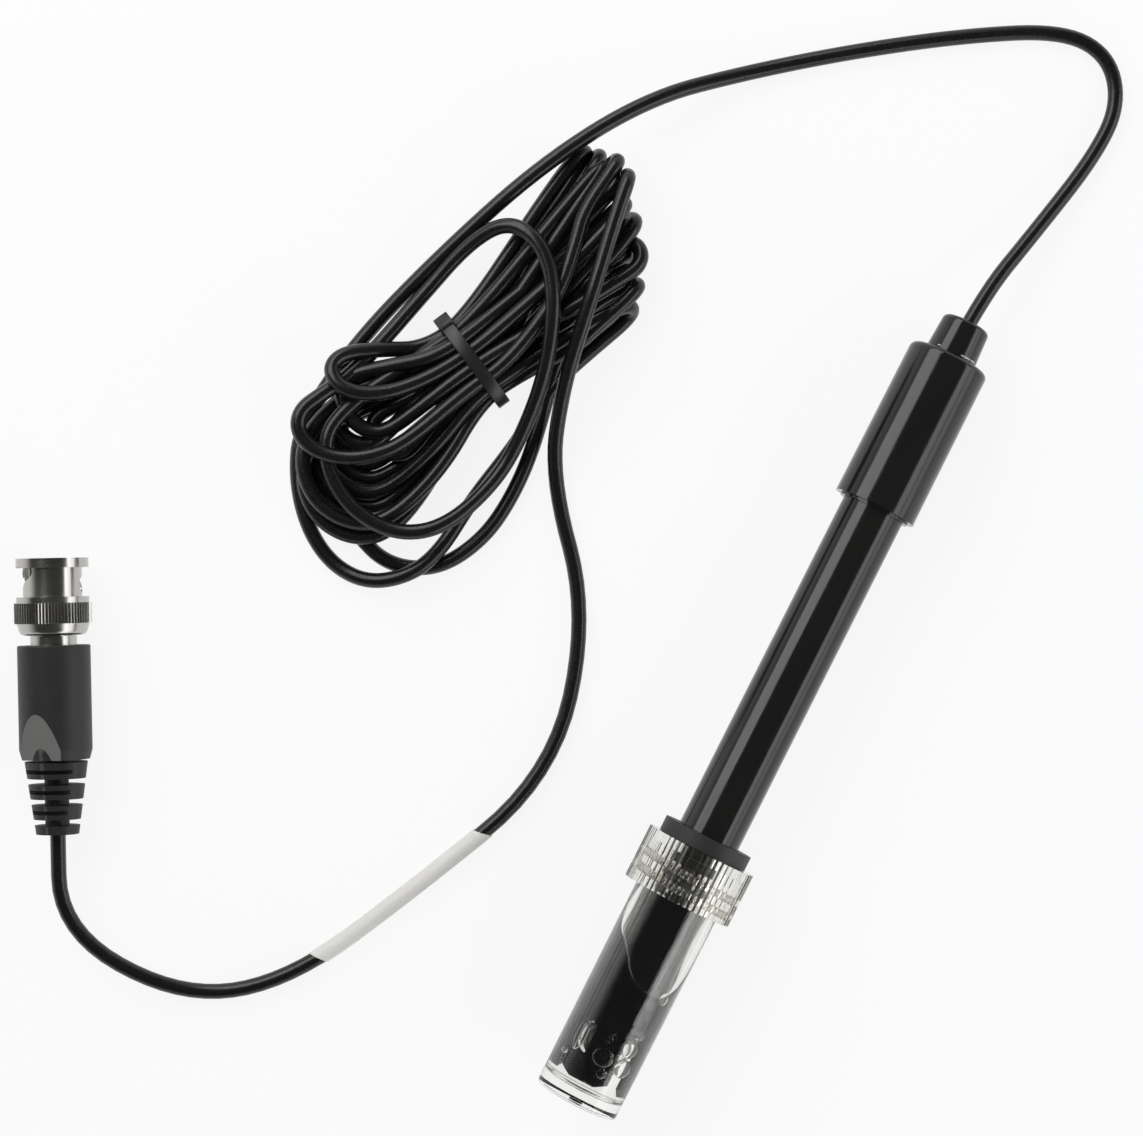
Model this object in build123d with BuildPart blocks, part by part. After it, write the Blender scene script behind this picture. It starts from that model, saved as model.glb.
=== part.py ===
from build123d import *
from math import atan2, cos, radians, sin, tan
import os

# A combination pH electrode with its storage bottle, its tied cable and its bayonet plug,
# lying on a bench as it comes to rest. Millimetres, +Z up, the cable end towards +Y.
# Stations along the electrode are counted from its cable end towards the bottle,
# and stations along the plug from its mating face towards the boot.

# Fits
glue_gap = 0.05
running_gap = 0.15
seat_gap = 0.1
edge_tolerance = 1e-4

# Cable
cable_diameter = 2.9
cable_gap = 0.1
core_diameter = 0.6
strip_length = 0.5

# Cable bush
bush_length = 7.2
bush_top_diameter = 9.1
bush_base_diameter = 9.9
bush_edge_round = 1.0
bush_spigot_diameter = 7.0
bush_spigot_length = 3.5

# Body cap
cap_length = 31.3
cap_rim_wall = 1.1
cap_draft = 0.3
cap_edge_round = 1.2
cap_top_wall = 3.0
cap_shoulder = 0.8

# Ring at the cap's mouth
cap_seal_wall = 0.8
cap_seal_seat = 1.5
cap_seal_lip = 0.5

# Body tube and its guard
shaft_diameter = 12.0
shaft_wall = 1.2
shaft_reach = 118.0
tube_grip = 20.0
guard_depth = 11.0
guard_slot_width = 3.6
guard_flare = 1.3

# Glass stem and what is inside the tube
stem_space = 1.8
stem_wall = 0.7
bulb_space = 0.8
bulb_wall = 0.5
bulb_recess = 4.0
stopper_length = 8.0
stem_socket = 4.0
measuring_wire_diameter = 0.8
measuring_wire_rise = 4.5
measuring_wire_depth = 3.0
reference_wire_diameter = 0.6
reference_wire_short = 17.0
stem_seal_length = 4.0
stem_seal_recess = 3.5
junction_diameter = 1.0
junction_length = 6.0

# Storage bottle
tip_gap = 1.9
bottle_floor = 2.7
bottle_showing = 41.2
bottle_clearance = 0.95
bottle_wall = 1.25
bottle_draft = 0.4
bottle_floor_round = 1.6
bottle_edge_round = 0.6

# Screw cap of the bottle
screw_cap_height = 10.3
screw_cap_wall = 1.6
screw_cap_plate = 1.8
thread_room = 0.8
screw_cap_ribs = 54
screw_cap_rib_depth = 0.5

# Rubber grommet in the screw cap
grommet_flange_reach = 1.7
grommet_flange = 2.8
grommet_neck_wall = 0.7
grommet_seat_inset = 0.2
grommet_seat = 1.8

# Bayonet nut, by stations from its mating face
plug_face = (-132.2, -35.4)
plug_heading = 118.1
nut_flange_diameter = 13.4
nut_flange = 1.75
nut_sleeve_wall = 0.55
nut_sleeve_end = 7.2
nut_collar_diameter = 13.5
nut_collar = 1.1
nut_knurl_diameter = 14.3
nut_knurl = 3.8
nut_knurl_ribs = 72
nut_knurl_depth = 0.28
nut_taper = 2.2
nut_tail_diameter = 12.1
nut_tail_round = 1.0
nut_bore = 9.8
nut_rear_wall = 2.3
bayonet_detent = 5.0
bayonet_slot_width = 2.4
bayonet_detent_diameter = 2.9
bayonet_rise = 3.4
bayonet_lead = 2.6
bayonet_groove_diameter = 11.3

# Plug body and what it holds
sleeve_recess = 1.0
sleeve_diameter = 8.1
sleeve_bore = 7.0
sleeve_slot_width = 0.7
sleeve_slot_depth = 4.5
body_flange_start = 9.6
body_flange = 1.0
body_stem_diameter = 6.8
body_tail_diameter = 5.0
body_tail_length = 7.0
body_tail_bore = 3.0
insulator_start = 6.0
insulator_end = 10.0
pin_recess = 2.2
pin_diameter = 1.35
pin_shank_diameter = 1.9
pin_shank_start = 5.0
pin_end = 16.0
gasket_thickness = 1.1
washer_thickness = 0.4
collar_wall = 0.85
collar_length = 3.55
ferrule_wall = 0.65
ferrule_neck_length = 6.0

# Rubber boot: a sleeve with two grip flats and an oval tail that is cut so that it bends
boot_cover = 1.8
boot_diameter = 13.5
boot_sleeve_length = 21.2
boot_sleeve_taper = 1.8
boot_sleeve_inset = 0.5
boot_front_round = 0.25
boot_cavity_gap = 0.35
boot_cavity_spare = 0.4
boot_flat_length = 8.6
boot_flat_depth = 2.0
boot_turned = 22.5
boot_tail_length = 13.9
tail_root_depth = 3.0
tail_root_width = 13.3
tail_root_height = 10.7
tail_end_width = 8.2
tail_end_height = 7.2
tail_slit = 0.45
tail_core_diameter = 4.5
tail_cut_first = 2.2
tail_cut_pitch = 1.9
tail_cut_pairs = 3
tail_slot_width = 0.75
tail_groove_width = 1.15
tail_bridge = 4.8

# Cable label
label_length = 36.8
label_wall = 0.2

# Cable routes on the bench, chosen point by point
bench_height = 1.5
bend_share = 0.45
bush_exit_run = 4.8
lead_points = [
    (4.0, 102.5, 3.0),
    (7.6, 120.0, bench_height),
    (7.4, 131.0, bench_height),
    (1.4, 138.4, bench_height),
    (-8.5, 138.6, bench_height),
    (-24.5, 129.4, bench_height),
    (-42.0, 117.2, bench_height),
    (-58.5, 104.2, bench_height),
    (-72.0, 91.2, 6.5),
    (-83.5, 71.5, 10.0),
    (-93.0, 48.5, 5.5),
    (-100.5, 26.0, bench_height),
    (-103.0, 8.0, bench_height),
    (-97.5, -5.0, 2.5),
]
label_middle = (-44.0, -60.0, bench_height)
tail_points = [
    (-65.5, 52.0, 12.0),
    (-63.0, 36.0, 7.0),
    (-57.5, 20.5, bench_height),
    (-38.5, 0.5, bench_height),
    (-30.5, -29.5, bench_height),
    label_middle,
    (-57.5, -87.0, bench_height),
    (-74.5, -98.8, bench_height),
]
boot_exit_run = 18.0
boot_entry = 2.4

# Hank: sections by distance from the tie along the hank, offset across it, half width, height
hank_tie = (-79.1, 32.8)
hank_heading = 73.5
hank_waist = (0.0, 0.0, 9.1, 12.0)
hank_sections = [
    (-46.0, 5.0, 5.0, 4.0),
    (-42.0, 3.5, 11.5, 7.5),
    (-32.0, 2.0, 17.5, 11.5),
    (-20.0, 0.5, 18.0, 13.0),
    (-9.0, 0.5, 13.5, 12.5),
    hank_waist,
    (10.0, 1.5, 11.5, 11.5),
    (24.0, 3.0, 13.5, 11.5),
    (35.0, -0.5, 12.5, 11.5),
    (43.0, -5.0, 8.0, 10.5),
    (46.5, -6.5, 3.5, 7.0),
]
tie_width = 2.5
tie_thickness = 1.1
tie_skew = 10.0
tie_head = 4.6

# Diameters that follow from the sizes above
shaft_bore = shaft_diameter - 2 * shaft_wall
stem_diameter = shaft_bore - 2 * stem_space
bulb_diameter = shaft_bore - 2 * bulb_space
cap_cavity_diameter = shaft_diameter - 2 * cap_shoulder
cap_seal_diameter = shaft_diameter + 2 * cap_seal_wall
cap_mouth_diameter = cap_seal_diameter + 2 * cap_rim_wall
cap_top_diameter = cap_mouth_diameter - cap_draft
bottle_top_diameter = shaft_diameter + 2 * (bottle_clearance + bottle_wall)
bottle_end_diameter = bottle_top_diameter - bottle_draft
screw_cap_bore = bottle_top_diameter + 2 * thread_room
screw_cap_diameter = screw_cap_bore + 2 * screw_cap_wall
screw_cap_hole = shaft_diameter + 2 * (2 * running_gap + grommet_neck_wall)
grommet_flange_diameter = screw_cap_hole + 2 * grommet_flange_reach
grommet_seat_diameter = bottle_top_diameter - 2 * grommet_seat_inset
nut_sleeve_diameter = nut_bore + 2 * nut_sleeve_wall
body_flange_diameter = nut_bore - 2 * running_gap
gasket_diameter = body_flange_diameter - 2 * glue_gap
collar_diameter = body_stem_diameter + 2 * (glue_gap + collar_wall)
boot_cavity_diameter = body_tail_diameter + 2 * (glue_gap + ferrule_wall + boot_cavity_gap)

# Stations that follow from the sizes above
cap_mouth = bush_length + cap_length
tube_top = cap_mouth - tube_grip
tip = cap_mouth + shaft_reach
bottle_bed = tip + tip_gap
bottle_end = bottle_bed + bottle_floor
screw_cap_mouth = bottle_end - bottle_showing
screw_cap_top = screw_cap_mouth - screw_cap_height
grommet_top = screw_cap_top - seat_gap - grommet_flange
bottle_lip = screw_cap_top + screw_cap_plate + seat_gap + grommet_seat
cable_start = bush_length + bush_spigot_length + strip_length
wire_top = tube_top - measuring_wire_rise
stem_top = tube_top + stopper_length - stem_socket
bulb_centre = tip - bulb_recess - bulb_diameter / 2
guard_start = tip - guard_depth
seal_end = guard_start - stem_seal_recess
seal_start = seal_end - stem_seal_length
junction_start = (seal_start + seal_end - junction_length) / 2
reference_wire_end = junction_start - reference_wire_short
annulus_middle = (stem_diameter + shaft_bore) / 4
knurl_start = nut_sleeve_end + nut_collar
knurl_end = knurl_start + nut_knurl
nut_end = knurl_end + nut_taper
nut_wall_start = nut_end - nut_rear_wall
collar_start = nut_end + running_gap
body_stem_end = collar_start + collar_length
body_tail_end = body_stem_end + body_tail_length
ferrule_neck_end = body_tail_end + ferrule_neck_length
boot_start = body_stem_end - boot_cover
boot_cavity_end = ferrule_neck_end + boot_cavity_spare
boot_shoulder = boot_start + boot_sleeve_length
boot_flat_start = boot_shoulder - boot_flat_length
boot_end = boot_shoulder + boot_tail_length

# The electrode rests on its screw cap and on the rim of its body cap, so its axis leans a little
cap_rest = (bush_length + cap_edge_round, cap_top_diameter / 2)
nut_rest = (screw_cap_top, screw_cap_diameter / 2)
lean = atan2(nut_rest[1] - cap_rest[1], nut_rest[0] - cap_rest[0])
end_difference = (bottle_end_diameter - bush_top_diameter) / 2
electrode = Plane(
    origin=(
        0,
        (bottle_end * cos(lean) + end_difference * sin(lean)) / 2,
        cap_rest[1] * cos(lean) - cap_rest[0] * sin(lean),
    ),
    x_dir=(-1, 0, 0),
    z_dir=(0, sin(lean), cos(lean)),
)

# The plug lies on its knurl, with its stations running from the mating face to the boot
plug_height = nut_knurl_diameter / 2
plug_forward = Vector(cos(radians(plug_heading)), sin(radians(plug_heading)), 0)
plug = Plane(
    origin=(*plug_face, plug_height),
    x_dir=(plug_forward * -1).cross(Vector(0, 0, 1)),
    z_dir=(0, 0, 1),
)


def axis_of(plane):
    """The axis that a plane's stations run along."""
    return Axis(plane.origin, plane.y_dir)


def across(plane, station):
    """Plane square to the axis at a station, facing along it."""
    return Plane(plane.from_local_coords(Vector(0, station, 0)), x_dir=plane.x_dir, z_dir=plane.y_dir)


def rolled(plane, angle):
    """The plane turned about the axis that its stations run along."""
    axis = axis_of(plane)
    return Plane(plane.origin, x_dir=plane.x_dir.rotate(axis, angle), z_dir=plane.z_dir.rotate(axis, angle))


def turn(plane, *outline, mode=Mode.ADD):
    """Turns a closed outline of (radius, station) points about the plane's axis."""
    with BuildSketch(plane) as profile:
        with BuildLine():
            Polyline(*outline, close=True)
        make_face()
    revolve(profile.sketch, axis=axis_of(plane), mode=mode)


def ring(plane, start, end, inner, outer, mode=Mode.ADD):
    """Turns a plain ring between two stations, from its two diameters."""
    turn(plane, (inner / 2, start), (outer / 2, start), (outer / 2, end), (inner / 2, end), mode=mode)


def rod(plane, start, end, diameter, offset=0, mode=Mode.ADD):
    """A round rod along the axis between two stations, at an offset from it."""
    with BuildSketch(across(plane, start)) as section:
        with Locations((offset, 0)):
            Circle(diameter / 2)
    extrude(section.sketch, amount=end - start, mode=mode)


def rim(piece, diameter):
    """The round edges of a piece that have a given diameter."""
    round_edges = piece.edges().filter_by(GeomType.CIRCLE)
    return round_edges.filter_by(lambda edge: abs(2 * edge.radius - diameter) < edge_tolerance)


def ribbed(plane, start, length, diameter, ribs, depth):
    """A band with straight ribs between V grooves."""
    with BuildSketch(across(plane, start)) as section:
        Circle(diameter / 2)
        with PolarLocations(diameter / 2, ribs):
            Rectangle(depth * 2**0.5, depth * 2**0.5, rotation=45, mode=Mode.SUBTRACT)
    extrude(section.sketch, amount=length)


def bend_radii(points):
    """The largest bends that the runs of a route leave room for."""
    radii = []
    for before, corner, after in zip(points, points[1:], points[2:]):
        run_in = Vector(corner) - Vector(before)
        run_out = Vector(after) - Vector(corner)
        half_turn = radians(run_in.get_angle(run_out)) / 2
        radii.append(bend_share * min(run_in.length, run_out.length) / tan(half_turn))
    return radii


def sweep_round(route, radii, outer, inner=0):
    """Sweeps a round cable, or a sleeve on it, along a route of runs and bends, and returns its length."""
    with BuildLine() as line:
        FilletPolyline(*route, radius=radii)
    path = Wire(line.edges())
    with BuildSketch(Plane(origin=path @ 0, z_dir=path % 0)) as section:
        Circle(outer / 2)
        if inner:
            Circle(inner / 2, mode=Mode.SUBTRACT)
    sweep(section.sketch, path=path)
    return path.length


# Body tube: a straight moulded shaft whose open end is cut into guard prongs
with BuildPart() as body_tube:
    ring(electrode, tube_top, tip, shaft_bore, shaft_diameter)
    for slot_angle in (45, 135):
        with BuildSketch(rolled(electrode, slot_angle)):
            half_slot = guard_slot_width / 2
            with Locations((0, guard_start + half_slot)):
                Circle(half_slot)
            with BuildLine():
                Polyline(
                    (-half_slot, guard_start + half_slot),
                    (half_slot, guard_start + half_slot),
                    (half_slot, tip - guard_flare),
                    (half_slot + guard_flare, tip),
                    (-half_slot - guard_flare, tip),
                    (-half_slot, tip - guard_flare),
                    close=True,
                )
            make_face()
        extrude(amount=shaft_diameter, both=True, mode=Mode.SUBTRACT)

# Body cap: drafted outside, with a shoulder that the tube is glued up against
with BuildPart() as body_cap:
    turn(
        electrode,
        (bush_spigot_diameter / 2 + glue_gap, bush_length),
        (cap_top_diameter / 2, bush_length),
        (cap_mouth_diameter / 2, cap_mouth),
        (cap_seal_diameter / 2 + glue_gap, cap_mouth),
        (cap_seal_diameter / 2 + glue_gap, cap_mouth - cap_seal_seat),
        (shaft_diameter / 2 + glue_gap, cap_mouth - cap_seal_seat),
        (shaft_diameter / 2 + glue_gap, tube_top),
        (cap_cavity_diameter / 2, tube_top),
        (cap_cavity_diameter / 2, bush_length + cap_top_wall),
        (bush_spigot_diameter / 2 + glue_gap, bush_length + cap_top_wall),
    )
    fillet(rim(body_cap, cap_top_diameter), cap_edge_round)

with BuildPart() as cap_seal:
    ring(
        electrode,
        cap_mouth - cap_seal_seat,
        cap_mouth + cap_seal_lip,
        shaft_diameter + 2 * glue_gap,
        cap_seal_diameter,
    )

# Cable bush: a tapered collar with a spigot in the cap's top wall
with BuildPart() as cable_bush:
    bush_bore = cable_diameter / 2 + cable_gap
    turn(
        electrode,
        (bush_bore, 0),
        (bush_top_diameter / 2, 0),
        (bush_base_diameter / 2, bush_length),
        (bush_spigot_diameter / 2, bush_length),
        (bush_spigot_diameter / 2, bush_length + bush_spigot_length),
        (bush_bore, bush_length + bush_spigot_length),
    )
    fillet(rim(cable_bush, bush_top_diameter), bush_edge_round)

# Glass stem: a thin tube blown out to the sensing bulb inside the guard
with BuildPart() as glass_stem:
    with BuildSketch(electrode):
        stem_length = bulb_centre - stem_top
        stem_middle = (bulb_centre + stem_top) / 2
        with Locations((0, stem_middle)):
            Rectangle(stem_diameter, stem_length)
        with Locations((0, bulb_centre)):
            Circle(bulb_diameter / 2)
        with Locations((0, stem_middle)):
            Rectangle(stem_diameter - 2 * stem_wall, stem_length, mode=Mode.SUBTRACT)
        with Locations((0, bulb_centre)):
            Circle(bulb_diameter / 2 - bulb_wall, mode=Mode.SUBTRACT)
        with Locations((bulb_diameter / 2, stem_middle)):
            Rectangle(bulb_diameter, 2 * stem_length, mode=Mode.INTERSECT)
    revolve(axis=axis_of(electrode))

with BuildPart() as stem_stopper:
    turn(
        electrode,
        (measuring_wire_diameter / 2 + glue_gap, tube_top),
        (shaft_bore / 2 - glue_gap, tube_top),
        (shaft_bore / 2 - glue_gap, tube_top + stopper_length),
        (stem_diameter / 2 + glue_gap, tube_top + stopper_length),
        (stem_diameter / 2 + glue_gap, stem_top),
        (measuring_wire_diameter / 2 + glue_gap, stem_top),
    )
    rod(
        electrode,
        tube_top,
        tube_top + stopper_length,
        reference_wire_diameter + 2 * glue_gap,
        annulus_middle,
        mode=Mode.SUBTRACT,
    )

with BuildPart() as stem_seal:
    ring(electrode, seal_start, seal_end, stem_diameter + 2 * glue_gap, shaft_bore - 2 * glue_gap)
    rod(
        electrode,
        seal_start,
        seal_end,
        junction_diameter + 2 * glue_gap,
        annulus_middle,
        mode=Mode.SUBTRACT,
    )

with BuildPart() as junction:
    rod(electrode, junction_start, junction_start + junction_length, junction_diameter, annulus_middle)

with BuildPart() as measuring_wire:
    rod(electrode, wire_top, bulb_centre - measuring_wire_depth, measuring_wire_diameter)

with BuildPart() as reference_wire:
    rod(electrode, wire_top, reference_wire_end, reference_wire_diameter, annulus_middle)

with BuildPart() as core_conductor:
    rod(electrode, cable_start, wire_top, core_diameter)

# Shield: twisted to one side of the core, then bent out to the reference wire
with BuildPart() as shield_pigtail:
    pigtail_start = cable_diameter / 2 - core_diameter / 2
    pigtail_step = (wire_top - cable_start) / 4
    with BuildSketch(across(electrode, cable_start)):
        with Locations((pigtail_start, 0)):
            Circle(core_diameter / 2)
    with BuildSketch(across(electrode, cable_start + pigtail_step)):
        with Locations((pigtail_start, 0)):
            Circle(core_diameter / 2)
    with BuildSketch(across(electrode, wire_top - pigtail_step)):
        with Locations((annulus_middle, 0)):
            Circle(core_diameter / 2)
    with BuildSketch(across(electrode, wire_top)):
        with Locations((annulus_middle, 0)):
            Circle(core_diameter / 2)
    loft(ruled=True)

# Storage bottle: a drafted vial with a plain lip that the grommet seals on
with BuildPart() as storage_bottle:
    bed_diameter = bottle_end_diameter - 2 * bottle_wall
    turn(
        electrode,
        (bottle_top_diameter / 2 - bottle_wall, bottle_lip),
        (bottle_top_diameter / 2, bottle_lip),
        (bottle_top_diameter / 2, screw_cap_mouth),
        (bottle_end_diameter / 2, bottle_end),
        (0, bottle_end),
        (0, bottle_bed),
        (bed_diameter / 2, bottle_bed),
    )
    fillet(rim(storage_bottle, bed_diameter), bottle_floor_round)
    fillet(rim(storage_bottle, bottle_end_diameter), bottle_edge_round)

# Screw cap: ribbed outside, with a hole for the grommet in its top plate
with BuildPart() as bottle_cap:
    ribbed(
        electrode,
        screw_cap_top,
        screw_cap_height,
        screw_cap_diameter,
        screw_cap_ribs,
        screw_cap_rib_depth,
    )
    plate_end = screw_cap_top + screw_cap_plate
    rod(electrode, screw_cap_top, plate_end, screw_cap_hole, mode=Mode.SUBTRACT)
    rod(electrode, plate_end, screw_cap_mouth, screw_cap_bore, mode=Mode.SUBTRACT)

# Grommet: a flange above the cap's plate, a neck through its hole and a seat on the bottle's lip
with BuildPart() as seal_grommet:
    grommet_bore = shaft_diameter / 2 + running_gap
    grommet_neck = screw_cap_hole / 2 - running_gap
    turn(
        electrode,
        (grommet_bore, grommet_top),
        (grommet_flange_diameter / 2, grommet_top),
        (grommet_flange_diameter / 2, grommet_top + grommet_flange),
        (grommet_neck, grommet_top + grommet_flange),
        (grommet_neck, plate_end + seat_gap),
        (grommet_seat_diameter / 2, plate_end + seat_gap),
        (grommet_seat_diameter / 2, bottle_lip),
        (grommet_bore, bottle_lip),
    )

# Bayonet nut: flange, thin sleeve, collar, knurl and a rounded tail, with two cam slots
with BuildPart() as coupling_nut:
    ribbed(plug, knurl_start, nut_knurl, nut_knurl_diameter, nut_knurl_ribs, nut_knurl_depth)
    ring(plug, 0, nut_flange, nut_bore, nut_flange_diameter)
    ring(plug, nut_flange, nut_sleeve_end, nut_bore, nut_sleeve_diameter)
    ring(plug, nut_sleeve_end, knurl_start, nut_bore, nut_collar_diameter)
    nut_tail_hole = body_stem_diameter / 2 + running_gap
    turn(
        plug,
        (nut_tail_hole, knurl_end),
        (nut_collar_diameter / 2, knurl_end),
        (nut_tail_diameter / 2, nut_end),
        (nut_tail_hole, nut_end),
    )
    fillet(rim(coupling_nut, nut_tail_diameter), nut_tail_round)
    rod(plug, 0, nut_wall_start, nut_bore, mode=Mode.SUBTRACT)
    rod(plug, nut_wall_start, nut_end, 2 * nut_tail_hole, mode=Mode.SUBTRACT)
    for side in (1, -1):
        cam_side = Plane(origin=plug.origin, x_dir=plug.y_dir, z_dir=plug.x_dir * side)
        with BuildSketch(cam_side):
            cam_middle = ((bayonet_lead + bayonet_detent) / 2, bayonet_rise / 2)
            SlotCenterPoint(cam_middle, (bayonet_detent, 0), bayonet_slot_width)
            with Locations((bayonet_detent, 0)):
                Circle(bayonet_detent_diameter / 2)
        extrude(amount=nut_sleeve_diameter, mode=Mode.SUBTRACT)
        groove_turn = atan2(bayonet_rise, (nut_bore**2 / 4 - bayonet_rise**2) ** 0.5)
        groove_side = Vector(*plug.x_dir) * side * cos(groove_turn) + Vector(0, 0, side * sin(groove_turn))
        with BuildSketch(Plane(origin=plug.origin, x_dir=plug.y_dir, z_dir=groove_side)):
            with Locations((bayonet_lead / 2, 0)):
                Rectangle(bayonet_lead, bayonet_slot_width)
        extrude(amount=bayonet_groove_diameter / 2, mode=Mode.SUBTRACT)

# Plug body: slotted contact sleeve, flange, stem for the nut and a tail for the ferrule
with BuildPart() as plug_body:
    flange_end = body_flange_start + body_flange
    turn(
        plug,
        (sleeve_bore / 2, sleeve_recess),
        (sleeve_diameter / 2, sleeve_recess),
        (sleeve_diameter / 2, body_flange_start),
        (body_flange_diameter / 2, body_flange_start),
        (body_flange_diameter / 2, flange_end),
        (body_stem_diameter / 2, flange_end),
        (body_stem_diameter / 2, body_stem_end),
        (body_tail_diameter / 2, body_stem_end),
        (body_tail_diameter / 2, body_tail_end),
        (body_tail_bore / 2, body_tail_end),
        (body_tail_bore / 2, insulator_end),
        (sleeve_bore / 2, insulator_end),
    )
    with BuildSketch(across(plug, sleeve_recess)):
        for slot_angle in (45, 135):
            Rectangle(2 * sleeve_diameter, sleeve_slot_width, rotation=slot_angle)
    extrude(amount=sleeve_slot_depth, mode=Mode.SUBTRACT)

with BuildPart() as contact_insulator:
    ring(
        plug,
        insulator_start,
        insulator_end,
        pin_shank_diameter + 2 * glue_gap,
        sleeve_bore - 2 * glue_gap,
    )

with BuildPart() as centre_pin:
    turn(
        plug,
        (0, pin_recess),
        (pin_diameter / 4, pin_recess),
        (pin_diameter / 2, pin_recess + pin_diameter / 2),
        (pin_diameter / 2, pin_shank_start),
        (pin_shank_diameter / 2, pin_shank_start),
        (pin_shank_diameter / 2, pin_end),
        (0, pin_end),
    )

with BuildPart() as mating_gasket:
    ring(
        plug,
        body_flange_start - gasket_thickness,
        body_flange_start,
        sleeve_diameter + 2 * glue_gap,
        gasket_diameter,
    )

# Spring washer: a thin cone between the body's flange and the nut's rear wall
with BuildPart() as spring_washer:
    washer_start = flange_end + glue_gap
    washer_end = nut_wall_start - glue_gap
    washer_inner = body_stem_diameter / 2 + running_gap
    washer_outer = body_flange_diameter / 2
    turn(
        plug,
        (washer_inner, washer_start),
        (washer_outer, washer_end - washer_thickness),
        (washer_outer, washer_end),
        (washer_inner, washer_start + washer_thickness),
    )

with BuildPart() as rear_collar:
    ring(plug, collar_start, body_stem_end, body_stem_diameter + 2 * glue_gap, collar_diameter)

# Ferrule: round over the body's tail, necked down on the cable behind it
with BuildPart() as crimp_ferrule:
    ferrule_bore = body_tail_diameter / 2 + glue_gap
    neck_bore = cable_diameter / 2 + glue_gap
    turn(
        plug,
        (ferrule_bore, body_stem_end + glue_gap),
        (ferrule_bore + ferrule_wall, body_stem_end + glue_gap),
        (ferrule_bore + ferrule_wall, body_tail_end),
        (neck_bore + ferrule_wall, body_tail_end + 2 * ferrule_wall),
        (neck_bore + ferrule_wall, ferrule_neck_end),
        (neck_bore, ferrule_neck_end),
        (neck_bore, body_tail_end + ferrule_wall),
        (ferrule_bore, body_tail_end),
    )

with BuildPart() as plug_core:
    rod(plug, pin_end, body_tail_end + ferrule_wall, core_diameter)

# Boot: a sleeve with two sloping grip flats, out of which an oval tail comes that is cut so that it bends
with BuildPart() as plug_boot:
    boot_plane = rolled(plug, boot_turned)
    turn(
        plug,
        (0, boot_start),
        (boot_diameter / 2, boot_start),
        (boot_diameter / 2, boot_shoulder - boot_sleeve_taper),
        (boot_diameter / 2 - boot_sleeve_inset, boot_shoulder),
        (0, boot_shoulder),
    )
    fillet(rim(plug_boot, boot_diameter).sort_by(axis_of(plug))[0], boot_front_round)
    for side in (1, -1):
        with BuildSketch(Plane(origin=plug.origin, x_dir=plug.y_dir, z_dir=boot_plane.x_dir)) as flat:
            with BuildLine():
                Polyline(
                    (boot_flat_start, side * boot_diameter / 2),
                    (boot_shoulder, side * (boot_diameter / 2 - boot_flat_depth)),
                    (boot_shoulder, side * boot_diameter),
                    (boot_flat_start, side * boot_diameter),
                    close=True,
                )
            make_face()
        extrude(flat.sketch, amount=boot_diameter, both=True, mode=Mode.SUBTRACT)
    with BuildSketch(across(boot_plane, boot_shoulder - tail_root_depth)) as tail_root:
        Ellipse(tail_root_width / 2, tail_root_height / 2)
    with BuildSketch(across(boot_plane, boot_end)) as tail_tip:
        Ellipse(tail_end_width / 2, tail_end_height / 2)
    loft([tail_root.sketch.face(), tail_tip.sketch.face()])
    rod(plug, boot_start, body_stem_end, collar_diameter + 2 * glue_gap, mode=Mode.SUBTRACT)
    rod(plug, body_stem_end, boot_cavity_end, boot_cavity_diameter, mode=Mode.SUBTRACT)
    rod(plug, boot_cavity_end, boot_end, cable_diameter + 2 * cable_gap, mode=Mode.SUBTRACT)
    slit_end = boot_shoulder + tail_slit
    ring(plug, boot_shoulder, slit_end, tail_core_diameter, 2 * boot_diameter, mode=Mode.SUBTRACT)
    for pair in range(tail_cut_pairs):
        slot_middle = boot_shoulder + tail_cut_first + 2 * pair * tail_cut_pitch
        with BuildSketch(across(boot_plane, slot_middle - tail_slot_width / 2)) as slot:
            Rectangle(2 * boot_diameter, 2 * boot_diameter)
            Rectangle(2 * boot_diameter, tail_bridge, mode=Mode.SUBTRACT)
        extrude(slot.sketch, amount=tail_slot_width, mode=Mode.SUBTRACT)
        groove_start = slot_middle + tail_cut_pitch - tail_groove_width / 2
        groove_end = groove_start + tail_groove_width
        ring(plug, groove_start, groove_end, tail_core_diameter, 2 * boot_diameter, mode=Mode.SUBTRACT)

# Cable: out of the bush, down to the bench and over to the hank
lead_route = [
    tuple(electrode.from_local_coords(Vector(0, cable_start, 0))),
    tuple(electrode.from_local_coords(Vector(0, -bush_exit_run, 0))),
    *lead_points,
]
with BuildPart() as cable_lead:
    lead_length = sweep_round(lead_route, bend_radii(lead_route), cable_diameter)

# Cable: out of the hank, along the bench and up into the boot
tail_route = [
    *tail_points,
    tuple(plug.from_local_coords(Vector(0, boot_end + boot_exit_run, 0))),
    tuple(plug.from_local_coords(Vector(0, boot_end - boot_entry, 0))),
]
with BuildPart() as cable_tail:
    tail_length = sweep_round(tail_route, bend_radii(tail_route), cable_diameter)

with BuildPart() as cable_in_boot:
    rod(plug, body_tail_end + ferrule_wall, boot_end - boot_entry, cable_diameter)

# Label: a wrap that follows the cable's own gentle bend
with BuildPart() as cable_label:
    label_corner = tail_route.index(label_middle)
    middle = Vector(label_middle)
    label_route = [
        tuple(middle + (Vector(tail_route[label_corner + step]) - middle).normalized() * (label_length / 2))
        for step in (-1, 1)
    ]
    label_route.insert(1, tuple(middle))
    label_bore = cable_diameter + 2 * glue_gap
    label_bend = bend_radii(tail_route)[label_corner - 1]
    sweep_round(label_route, [label_bend], label_bore + 2 * label_wall, label_bore)

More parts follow.
